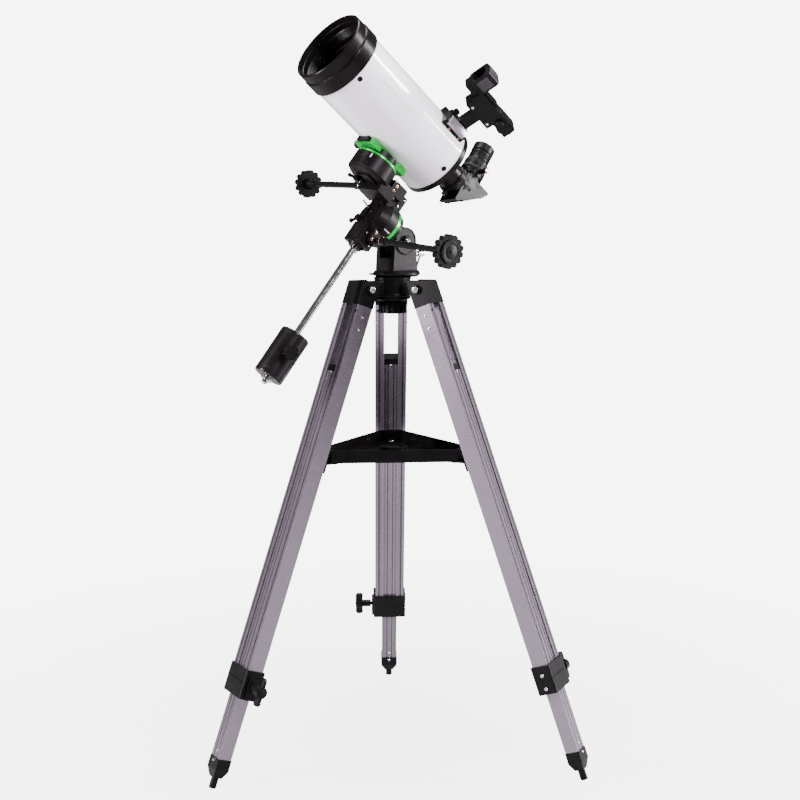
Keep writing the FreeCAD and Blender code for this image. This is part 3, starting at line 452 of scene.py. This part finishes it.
# ---------------------------------------------------------------- optical tube details
def tube_details():
    body = "optical_tube"
    for k in range(3):
        around = spun_about(OTA, -24 + 120 * k)
        for name, z in (("front", 123.0), ("rear", -70.5)):
            spot = at(around, TUBE_SKIN, 0, z, up=(1, 0, 0))
            screw("tube_screw_%s_%d" % (name, k), spot, 3.9, 1.7, CELL, body)
    stripe = bmesh.new()
    for z in (24.0, 96.0):
        for k in range(3):
            turn = math.radians(-1.0 + 0.35 * k)
            stripe.verts.new((56.42 * math.cos(turn), 56.42 * math.sin(turn), z))
    stripe.verts.ensure_lookup_table()
    for k in range(2):
        stripe.faces.new((stripe.verts[k], stripe.verts[k + 1], stripe.verts[k + 4], stripe.verts[k + 3]))
    finished("tube_pinstripe", stripe, OTA, STRIPE, body)
    threads = [(53.0, 139.2)]
    for k in range(9):
        threads += [(52.3, 139.6 + 1.4 * k), (51.7, 140.1 + 1.4 * k), (52.3, 140.6 + 1.4 * k)]
    threads += [(53.0, 152.6), (53.0, 139.2)]
    bead("dew_shield_thread", OTA, threads, CELL, body, 96)
    bead("lens_retainer", OTA, [(51.1, 130.0), (48.6, 130.0), (48.2, 131.2), (51.1, 132.2),
                                (51.1, 130.0)], CELL, body, 96)
    for k in range(2):
        notch = at(spun_about(OTA, 60 + 180 * k), 49.7, 0, 131.4)
        finished("retainer_notch_%d" % k, slab(-1.4, 1.4, -2.2, 2.2, -0.6, 0.7, 0.2), notch, DARK, body)
    bead("secondary_spot", OTA, [(0, 112.8), (15.2, 113.0), (15.2, 112.4), (0, 112.2)], MIRROR, body)
    for k in range(3):
        spot = at(spun_about(OTA, 30 + 120 * k), 50.0, 0, -89.5, up=(0, 0, -1))
        screw("rear_cell_screw_%d" % k, spot, 2.4, 1.4, STEEL, body)
    finished("visual_back_knurl", toothed(23.6, 23.0, 0.5, 72, -131.5, -122.0), OTA, CELL, body)
    finished("focus_knob_cap", toothed(9.0, 3.0, 0.4, 40, -23.2, -21.9),
             at(axes(place("focus_knob_turn"), OTA.to_3x3().col[0], OTA.to_3x3().col[1], TUBE), 0, 0, 10),
             PLASTIC, "focus_knob")


def diagonal_details():
    for name in ("back_thumbscrew_1", "back_thumbscrew_2", "eyepiece_screw"):
        joint = name + "_turn"
        out = direction(joint)
        base = at(axes(place(joint), *across(out), out))
        offset = -8.0 if name.startswith("back") else 3.7
        top = (13.0 if name.startswith("back") else 9.0)
        head = at(base, 0, 0, offset + top)
        finished(name + "_knurl", toothed(4.7, 3.6, 0.45, 24, -5.2, 0.1), head, CELL, name)
        bead(name + "_centre", head, [(0, 0.35), (2.5, 0.3), (2.9, 0.0), (2.9, -0.4), (0, -0.4)], COPPER,
             name, 24)
    slope = math.sqrt(0.5)
    plate = EYEPIECE @ axes(Vector((0, 0, 0)), Vector((1, 0, 0)), Vector((0, -slope, slope)),
                            Vector((0, -slope, -slope)))
    for k, (x, y) in enumerate(((-15, 20), (15, 20), (-15, -20), (15, -20))):
        screw("cover_screw_%d" % k, at(plate, x, y, 16.6), 2.0, 0.9, CELL, "star_diagonal")
    finished("diagonal_collar", toothed(19.9, 19.3, 0.4, 60, 33.0, 39.0), EYEPIECE, CELL, "star_diagonal")
    for x in (-18.0, 18.0):
        finished("diagonal_side_%s" % ("near" if x < 0 else "far"), diagonal_side(),
                 at(EYEPIECE, x, 0, 0, up=(math.copysign(1, x), 0, 0), side=(0, 1, 0)), PLASTIC,
                 "star_diagonal")
    bead("eye_lens", EYEPIECE, [(0, 79.2), (6.0, 78.6), (10.0, 77.0), (10.0, 76.6), (0, 76.6)], EYE_GLASS,
         "eyepiece")
    bead("eye_lens_ring", EYEPIECE, [(10.0, 76.6), (10.3, 78.2), (12.2, 79.0), (12.2, 76.6),
                                     (10.0, 76.6)], CELL, "eyepiece")
    finished("eyepiece_grip", toothed(18.8, 18.2, 0.45, 48, 42.0, 50.5), EYEPIECE, RUBBER, "eyepiece")
    for k in range(4):
        z = 58.0 + 2.6 * k
        bead("eyepiece_rib_%d" % k, EYEPIECE, [(16.0, z), (16.9, z + 0.3), (16.9, z + 1.3),
                                               (16.0, z + 1.6)], RUBBER, "eyepiece")


def across(axis):
    """Two directions square to an axis."""
    hint = Vector((0, 0, 1)) if abs(axis.z) < 0.9 else Vector((1, 0, 0))
    y = axis.cross(hint).normalized()
    return y.cross(axis), y


def diagonal_side():
    """Raised triangular panel on the mirror box."""
    points = [(14, 13), (-13, -12), (14, -20)]
    return extruded_outline(points, -0.1, 0.7, 0.3)


def finder_details():
    body = "optical_tube"
    base = spun_about(OTA, -46)
    bead("finder_window_glass", at(base, 0, 139, -15, up=(0, 0, 1)),
         [(0, 0), (11.6, 0), (11.6, 1.4), (0, 1.4)], EYE_GLASS, body)
    bead("finder_window_rim", at(base, 0, 139, -3), [(11.4, -0.5), (11.6, 0.8), (13.6, 0.8),
                                                     (14.0, -0.5)], PLASTIC, body)
    finished("finder_foot_face", extruded_outline([(17.1, 59), (17.3, 64), (9.9, 71.6), (9.0, 71.2),
                                                   (12.0, 63.5), (16, 60)],
             -66, -30, 0.3), base, PLATE, body)
    knob = at(base, 0, 71, -33, up=(0, 1, 0))
    bead("finder_foot_screw", knob, [(0, 8.5), (4.0, 8.3), (4.9, 7.6), (4.9, 2.6), (2.0, 2.2), (2.0, -1),
                                     (0, -1)], PLASTIC, body, 32)
    finished("finder_foot_screw_knurl", toothed(5.2, 4.6, 0.4, 22, 3.0, 7.4), knob, PLASTIC, body)
    hood_side = [(12.8, 128), (15.4, 131), (15.4, 148), (12.8, 153)]
    finished("finder_hood_cheek", extruded_outline([(x, y) for x, y in hood_side], -24, -6, 0.5), base,
             GLOSS, body)
    finished("finder_hood_crest", slab(-10, 10, 155.8, 156.5, -24, -6, 0.3), base, GLOSS, body)
    finished("finder_lamp_cover", slab(-8, 8, 126.6, 130.5, -60, -32, 0.9), base, PLASTIC, body)
    finished("finder_battery_lid", slab(-10.5, 10.5, 126.7, 128.2, -103, -72, 0.6), base, PLASTIC, body)
    side = at(base, 12, 117, -82, up=(1, 0, 0))
    bead("finder_side_knob", side, [(0, 5.2), (4.6, 5.0), (5.4, 4.2), (5.4, 0), (0, 0)], PLASTIC, body, 32)
    finished("finder_side_knurl", toothed(5.8, 5.2, 0.4, 26, 0.8, 4.4), side, PLASTIC, body)
    under = at(base, 0, 108, -98, up=(0, -1, 0))
    bead("finder_tilt_knob", under, [(0, 4.5), (5.0, 4.3), (5.8, 3.4), (5.8, 0), (0, 0)], PLASTIC, body, 32)
    for k, z in enumerate((-72.0, -36.0)):
        screw("finder_rail_screw_%d" % k, at(base, 12.0, 102, z, up=(1, 0, 0)), 2.2, 1.2, STEEL, body)
    for k, z in enumerate((-62.0, -40.0)):
        screw("finder_stalk_screw_%d" % k, at(base, 17.0, 56, z, up=(1, 0, 0)), 1.9, 1.0, COPPER, body)


# ---------------------------------------------------------------- mount details
def handle_details(name, knob_radius, lobes):
    joint = name + "_turn"
    out = direction(joint)
    base = axes(place(joint) - out * 30.0 * MM, *across(out), out)
    reach = HANDLE_REACH
    bead(name + "_ferrule", base, [(4.6, reach - 30), (6.1, reach - 30), (6.4, reach - 29.4),
                                   (6.4, reach - 25.5), (4.6, reach - 25)], CELL, name, 40)
    bead(name + "_collar", base, [(4.0, 34.5), (5.6, 34.5), (5.8, 35.0), (5.8, 38.0), (4.0, 38.2)], STEEL,
         name, 40)
    screw(name + "_set_screw", at(base, 6.2, 0, 43, up=(1, 0, 0)), 1.6, 0.7, STEEL, name, "hex")
    cap = knob_radius - 8.5
    bead(name + "_cap", at(base, 0, 0, reach), [(0, 0.5), (cap - 6, 0.5), (cap - 5.4, 0.15),
                                                (cap - 4.4, 0.15), (cap - 3.8, 0.5),
         (cap - 2.4, 0.5), (cap - 2.0, 0.15), (cap - 1.2, 0.15), (cap - 0.8, 0.4), (cap, 0.0),
                                                (cap, -0.4), (0, -0.4)], SATIN, name, 64)
    screw(name + "_cap_screw", at(base, 0, 0, reach + 0.4), 2.6, 0.9, CELL, name)
    for k in range(14):
        z = 52.0 + 8.2 * k
        bead("%s_sleeve_%d" % (name, k), base, [(4.55, z), (4.85, z + 0.4), (4.85, z + 1.0),
                                                (4.55, z + 1.4)], RUBBER, name, 24)


def circle_details():
    ra = RA @ Matrix.Translation((0, 0, 30.2 * MM))
    tick_ring("ra_circle_marks", ra, CIRCLE_RADIUS, 1.0, 5.4, 72, 6, "ra_setting_circle")
    dec = DEC_AXIS @ Matrix.Translation((0, 0, 61.7 * MM))
    tick_ring("dec_circle_marks", dec, CIRCLE_RADIUS, 0.9, 3.3, 72, 6, "dec_setting_circle")


def casting_details():
    body = "ra_body"
    # on the RA drum's rim and on the counterweight block
    mark = at(spun_about(RA, -22), 33.2, 0, 44, up=(1, 0, 0), side=(0, 1, 0))
    finished("ra_index_mark", slab(-0.9, 0.9, -5.5, 5.5, 0, 0.6, 0.15), mark, MARK, body)
    mark = at(spun_about(DEC_AXIS, 40), 33.2, 0, 57, up=(1, 0, 0), side=(0, 1, 0))
    finished("dec_index_mark", slab(-0.8, 0.8, -3.5, 3.5, 0, 0.6, 0.15), mark, MARK, body)
    bead("ra_stop_pin", at(RA, -16, 12, 64.0, up=(-0.25, 0.25, 1)),
         [(0, 14), (1.3, 13.8), (1.6, 13), (1.6, 0), (0, 0)], STEEL, body, 20)
    bead("shaft_lock_screw", at(RA, -6, -50, 52, up=(-0.1, -1, -0.35)),
         [(0, 11), (4.4, 10.6), (5.0, 9.8), (5.0, 5.0), (2.2, 4.6), (2.2, -3), (0, -3)], STEEL, body, 32)
    finished("shaft_lock_knurl", toothed(5.3, 4.7, 0.4, 24, 5.6, 9.4),
             at(RA, -6, -50, 52, up=(-0.1, -1, -0.35)), STEEL, body)
    spots = (("socket_upper", 17.0, -30, 62, 2.0, STEEL), ("socket_lower", 17.0, -43, 47, 2.0, STEEL),
             ("ra_worm_upper", 26.0, -24, 55, 2.7, COPPER), ("ra_worm_lower", 26.0, -36, 55, 2.4, COPPER),
             ("dec_worm_upper", 25.5, 50, 69, 2.9, COPPER), ("dec_worm_lower", 25.5, 42, 70.5, 2.4, COPPER),
             ("neck_upper", 21.0, 45, 41, 1.8, STEEL), ("neck_lower", 21.0, 31, 46, 1.8, STEEL))
    for name, x, y, z, radius, finish in spots:
        screw(name + "_screw", at(RA, x, y, z, up=(1, 0, 0)), radius, 1.3, finish, body)
    bead("ra_grease_plug", at(RA, 26.0, -30, 43, up=(1, 0, 0)),
         [(0, 1.6), (2.0, 1.4), (2.6, 0.6), (2.6, -0.3), (0, -0.3)], MARK, body, 24)
    bead("dec_grease_plug", at(RA, 24.0, 56, 74, up=(1, 0.4, 0)),
         [(0, 1.8), (1.6, 1.5), (2.2, 0.6), (2.2, -0.3), (0, -0.3)], MARK, body, 24)
    rib = extruded_outline([(-15, 0), (15, 0), (10, 4), (-10, 4)], -1.6, 1.6, 0.5)
    finished("ra_face_rib", rib, at(RA, -6, 0, 65, up=(0, 1, 0), side=(1, 0, 0)), CASTING, body)
    finished("ra_face_slot", slab(-9, 9, -2.0, 2.0, -0.2, 1.0, 0.4), at(RA, 0, 0, 65.0, side=(0, 1, 0)),
             CELL, body)
    finished("neck_web", slab(-24.8, 24.8, -3.5, 3.5, -14, 10, 1.2), at(RA, 0, 33, 74), CASTING, body)
    finished("socket_plate", slab(-14, 14, -11, 11, 0, 1.4, 0.6), at(RA, 0, -33, 69.2), CASTING, body)
    for k in range(4):
        x, y = (-10.5, 10.5)[k % 2], (-7.8, 7.8)[k // 2]
        screw("socket_plate_screw_%d" % k, at(RA, x, -33 + y, 70.6), 1.6, 0.8, CELL, body)


def yoke_details():
    body = "latitude_housing"
    out = direction("altitude")
    for side in (-1, 1):
        face = axes(PIVOT + out * side * 26.0 * MM, *across(out * side), out * side)
        bead("pivot_cap_%s" % ("left" if side < 0 else "right"), face,
             [(0, 0.6), (4.6, 0.6), (5.0, 1.6), (6.6, 1.6), (7.2, 0.8), (8.0, 0.0), (8.0, -0.3),
              (0, -0.3)], CASTING, body)
        screw("pivot_screw_%s" % ("left" if side < 0 else "right"), at(face, 0, 0, 0.5), 3.6, 1.5, STEEL,
              body, "hex")
        rim = axes(PIVOT + out * side * 22.0 * MM, *across(out * side), out * side)
        bead("yoke_rim_%s" % ("left" if side < 0 else "right"), rim,
             [(17.6, -0.3), (17.9, 0.7), (19.4, 0.7), (20.3, 0), (20.3, -0.3)], CASTING, "mount_base", 64)
    flange = Matrix.Translation(TRIPOD)
    base = 732.1
    bead("flange_groove", flange, [(35.5, base + 3.2), (35.9, base + 3.8), (35.9, base + 4.6),
                                   (35.5, base + 5.2)], CASTING, "mount_base", 72)
    back = direction("altitude_bolt_turn")
    head = axes(place("altitude_bolt_turn") + back * 14.2 * MM, *across(back), back)
    bead("altitude_bolt_cap", head, [(0, 1.0), (3.4, 0.7), (4.5, -0.4), (4.5, -1.0), (0, -1.0)], STEEL,
         "altitude_bolt", 32)


def weight_details():
    axis = direction("counterweight_slide")
    out = direction("counterweight_knob_turn")
    middle = PIVOT + POLE * SHAFT_LEVEL * MM + DEC * WEIGHT_MIDDLE * MM
    base = axes(middle, out, axis.cross(out), axis)
    for k, z in enumerate((-30.0, 30.0)):
        bead("weight_band_%d" % k, base, [(22.4, z), (22.75, z + 0.4), (22.75, z + 1.6), (22.4, z + 2.0)],
             WEIGHT, "counterweight", 72)
    bead("weight_bush", base, [(5.3, 37.5), (9.0, 37.5), (8.6, 38.3), (5.3, 38.3)], STEEL,
         "counterweight", 40)
    knob = axes(middle + axis * 4.0 * MM, *across(out), out)
    bead("weight_knob_cap", knob, [(0, 34.4), (6.0, 34.2), (7.0, 33.6), (7.0, 33.2), (0, 33.2)], SATIN,
         "counterweight_knob", 40)
    end = axes(PIVOT + (POLE * SHAFT_LEVEL + DEC * SHAFT_TIP) * MM, EAST, POLE, DEC * -1)
    screw("shaft_end_screw", end, 5.0, 2.4, STEEL, "ra_body", "cross")


# ---------------------------------------------------------------- tripod details
def wing_side(wing, leg, axis):
    """One of the leg's directions, in its wing screw's frame."""
    return wing.to_3x3().inverted() @ leg_frame(leg).to_3x3().col[axis]


def leg_details(leg):
    base = leg_frame(leg)
    for side, name in ((-1, "a"), (1, "b")):
        out = (side, 0, 0)
        screw("bolt_%s_%s" % (leg, name), at(base, side * 30.6, 0, 0, up=out), 4.4, 2.4, PLATE, "tripod",
              "cross", 35)
        washer("bolt_washer_%s_%s" % (leg, name), at(base, side * 28.0, 0, 0, up=out), 6.4, 1.0, CELL,
               "tripod")
        for k, down in enumerate((42.0, 61.0)):
            screw("rail_screw_%s_%s_%d" % (leg, name, k), at(base, side * RAIL_SIDE, 0, -down, up=out),
                  2.3, 1.1, STEEL, "tripod")
        for face in (-1, 1):
            spot = at(base, side * 21.5, face * RAIL_FACE, -36.0, up=(0, face, 0))
            screw("face_screw_%s_%s_%d" % (leg, name, face), spot, 1.8, 0.8, CELL, "tripod")
    for k, down in enumerate((594.0, 614.0)):
        screw("clamp_rivet_%s_%d" % (leg, k), at(base, 27.7, 0, -down, up=(1, 0, 0)), 2.6, 1.2, STEEL,
              "tripod", "cross")
    for face in (-1, 1):
        screw("stop_screw_%s_%d" % (leg, face), at(base, 0, face * INNER_FACE, -132, up=(0, face, 0)),
              2.0, 0.9, STEEL, "inner_leg_" + leg)
        for k, down in enumerate((706.0, 720.0)):
            stand = INNER_FACE if down < 716.0 else 11.5
            screw("foot_screw_%s_%d_%d" % (leg, face, k), at(base, 0, face * stand, -down,
                    up=(0, face, 0)), 2.2, 1.0, STEEL, "inner_leg_" + leg)
    rib = slab(-20, 20, -0.8, 0.8, -0.2, 1.0, 0.3)
    finished("clamp_rib_%s" % leg, rib, at(base, 0, 15.2, -CLAMP_RIB, up=(0, 1, 0), side=(1, 0, 0)),
             SATIN, "tripod")
    wing = axes(place("clamp_wing_screw_%s_turn" % leg), *across(direction("clamp_wing_screw_%s_turn" % leg)),
                direction("clamp_wing_screw_%s_turn" % leg))
    blade = [(-20.5, 1.5), (-17.5, -1.5), (-7, 0.5), (7, 0.5), (17.5, -1.5), (20.5, 1.5), (20.5, 9),
             (17, 11.5),
             (-17, 11.5), (-20.5, 9)]
    finished("wing_blade_%s" % leg, extruded_outline(blade, -2.9, 2.9, 0.8),
             at(wing, 0, 0, 7.5, up=wing_side(wing, leg, 1), side=wing_side(wing, leg, 2) * -1), SATIN,
             "clamp_wing_screw_" + leg)
    bead("wing_cap_%s" % leg, at(wing, 0, 0, 18.4), [(0, 1.2), (4.0, 1.0), (5.4, 0.2), (5.4, -0.3),
                                                     (0, -0.3)], SATIN, "clamp_wing_screw_" + leg, 32)


def tray_details():
    base = Matrix.Translation(TRIPOD)
    floor = TRAY_FLOOR
    bead("tray_hub", base, [(0, 472.6), (7, 472.9), (12, 472.2), (15.3, 470.6), (15.3, 467), (0, 467)],
         TRAY, "tripod", 64)
    bead("tray_hub_rim", base, [(15.4, 472.8), (16.2, 473.7), (18.0, 473.7), (19.2, 472.4), (19.2, floor),
                                (15.4, floor)], TRAY, "tripod", 64)
    for k in range(3):
        turn = spun_about(base, 90 + 120 * k)
        screw("tray_screw_%d" % k, at(turn, TRAY_SCREW, 0, floor - 0.2), 4.2, 2.2, STEEL, "tripod")
        washer("tray_washer_%d" % k, at(turn, TRAY_SCREW, 0, floor - 0.4), 6.0, 0.8, STEEL, "tripod")
        screw("arm_screw_%d" % k, at(turn, TRAY_SCREW, 0, 457.8, up=(0, 0, -1)), 3.6, 1.8, COPPER,
              "tripod", "hex")
        finished("tray_rib_%d" % k, slab(-30, 34, -1.0, 1.0, 0, 2.4, 0.5), at(turn, 56, 0, floor - 0.2),
                 TRAY, "tripod")
        finished("tray_rest_%d" % k, slab(-52, 52, -1.2, 1.2, 0, 3.4, 0.6),
                 at(spun_about(base, 120 * k), 0, -58, floor - 0.2), TRAY, "tripod")


def hub_details():
    base = Matrix.Translation(TRIPOD)
    bead("hub_bead", base, [(27.0, 703.0), (27.6, 704.0), (27.6, 706.0), (27.0, 707.0)], SATIN, "tripod", 72)
    bead("hub_lip", base, [(27.0, 727.6), (28.0, 728.4), (28.0, 731.2), (27.2, 732.0)], SATIN, "tripod", 72)
    bead("azimuth_cap", base, [(0, 676.6), (12.0, 676.8), (14.0, 678.0), (14.0, 679.0), (0, 679.0)],
         SATIN, "azimuth_knob", 48)


def details():
    tube_details()
    diagonal_details()
    finder_details()
    handle_details("ra_handle", 24.0, 14)
    handle_details("dec_handle", 22.0, 12)
    circle_details()
    casting_details()
    yoke_details()
    weight_details()
    for leg in LEGS:
        leg_details(leg)
    tray_details()
    hub_details()


details()


# ---------------------------------------------------------------- stage, light and camera
BACKDROP = 7.0


def ground():
    mesh = bpy.data.meshes.new("floor")
    shape = bmesh.new()
    bmesh.ops.create_circle(shape, cap_ends=True, segments=96, radius=30.0)
    shape.to_mesh(mesh)
    floor = bpy.data.objects.new("floor", mesh)
    bpy.context.collection.objects.link(floor)
    mesh.materials.append(pale_floor())


def pale_floor():
    """Pale paint near the object that fades into the backdrop's brightness further off."""
    material = surface("floor_paint", (0.40, 0.40, 0.40), (0.44, 0.44, 0.44), (0.6, 0.7), edge=0, bump=0.0)
    nodes, links = material.node_tree.nodes, material.node_tree.links
    glow, mix, path = (nodes.new("ShaderNode" + kind) for kind in ("Emission", "MixShader", "LightPath"))
    glow.inputs["Color"].default_value = (1, 1, 1, 1)
    glow.inputs["Strength"].default_value = BACKDROP
    coords, length, ranged, both = (nodes.new("ShaderNode" + kind) for kind in
                                    ("TexCoord", "VectorMath", "MapRange", "Math"))
    length.operation, both.operation = "LENGTH", "MULTIPLY"
    ranged.inputs["From Min"].default_value, ranged.inputs["From Max"].default_value = -1.6, 1.2
    links.new(coords.outputs["Object"], length.inputs[0])
    links.new(length.outputs["Value"], ranged.inputs["Value"])
    links.new(ranged.outputs["Result"], both.inputs[0])
    links.new(path.outputs["Is Camera Ray"], both.inputs[1])
    links.new(both.outputs["Value"], mix.inputs["Fac"])
    links.new(nodes["Principled BSDF"].outputs["BSDF"], mix.inputs[1])
    links.new(glow.outputs["Emission"], mix.inputs[2])
    links.new(mix.outputs["Shader"], nodes["Material Output"].inputs["Surface"])
    return material


def panel(name, position, target, size, power, tint=(1, 1, 1)):
    light = bpy.data.lights.new(name, "AREA")
    light.shape = "RECTANGLE"
    light.size, light.size_y = size
    light.energy = power
    light.color = tint
    lamp = bpy.data.objects.new(name, light)
    bpy.context.collection.objects.link(lamp)
    lamp.location = position
    lamp.rotation_euler = (Vector(target) - Vector(position)).to_track_quat("-Z", "Y").to_euler()


def sky(backdrop, fill):
    """A pale backdrop behind the object, and a weaker even fill for the light."""
    world = bpy.data.worlds.new("studio")
    bpy.context.scene.world = world
    world.use_nodes = True
    nodes, links = world.node_tree.nodes, world.node_tree.links
    seen, lit = nodes["Background"], nodes.new("ShaderNodeBackground")
    seen.inputs["Color"].default_value = (1, 1, 1, 1)
    seen.inputs["Strength"].default_value = backdrop
    lit.inputs["Color"].default_value = (0.98, 0.98, 1, 1)
    lit.inputs["Strength"].default_value = fill
    path, mix = nodes.new("ShaderNodeLightPath"), nodes.new("ShaderNodeMixShader")
    links.new(path.outputs["Is Camera Ray"], mix.inputs["Fac"])
    links.new(lit.outputs["Background"], mix.inputs[1])
    links.new(seen.outputs["Background"], mix.inputs[2])
    links.new(mix.outputs["Shader"], nodes["World Output"].inputs["Surface"])


def studio_camera():
    """Low three-quarter view from in front, level with the mount."""
    yaw, pitch, roll = (math.radians(v) for v in (2.3098, -7.7659, -0.3132))
    ahead = Vector((math.sin(yaw) * math.cos(pitch), math.cos(yaw) * math.cos(pitch), math.sin(pitch)))
    level = Vector((math.cos(yaw), -math.sin(yaw), 0))
    upright = level.cross(ahead)
    right = level * math.cos(roll) + upright * math.sin(roll)
    up = upright * math.cos(roll) - level * math.sin(roll)
    camera = bpy.data.objects.new("camera", bpy.data.cameras.new("camera"))
    camera.data.sensor_width = 36.0
    camera.data.lens = 59.48
    camera.matrix_world = axes(TRIPOD + Vector((-0.0701, -1.9953, 0.8169)), right, up, ahead * -1)
    bpy.context.collection.objects.link(camera)
    bpy.context.scene.camera = camera


ground()
sky(BACKDROP, 0.12)
panel("key", (1.5, -2.0, 2.3), (0, 0, 0.8), (0.8, 0.8), 130, (1.0, 0.96, 1.0))
panel("strip_left", (-2.3, -0.9, 1.3), (0, 0, 0.8), (0.35, 2.0), 200, (1.0, 0.95, 1.0))
panel("strip_right", (2.4, 0.0, 1.2), (0, 0, 0.8), (0.3, 2.0), 190, (1.0, 0.96, 1.0))
panel("top", (0, 0.2, 3.2), (0, 0, 0.6), (1.6, 1.6), 180)
studio_camera()
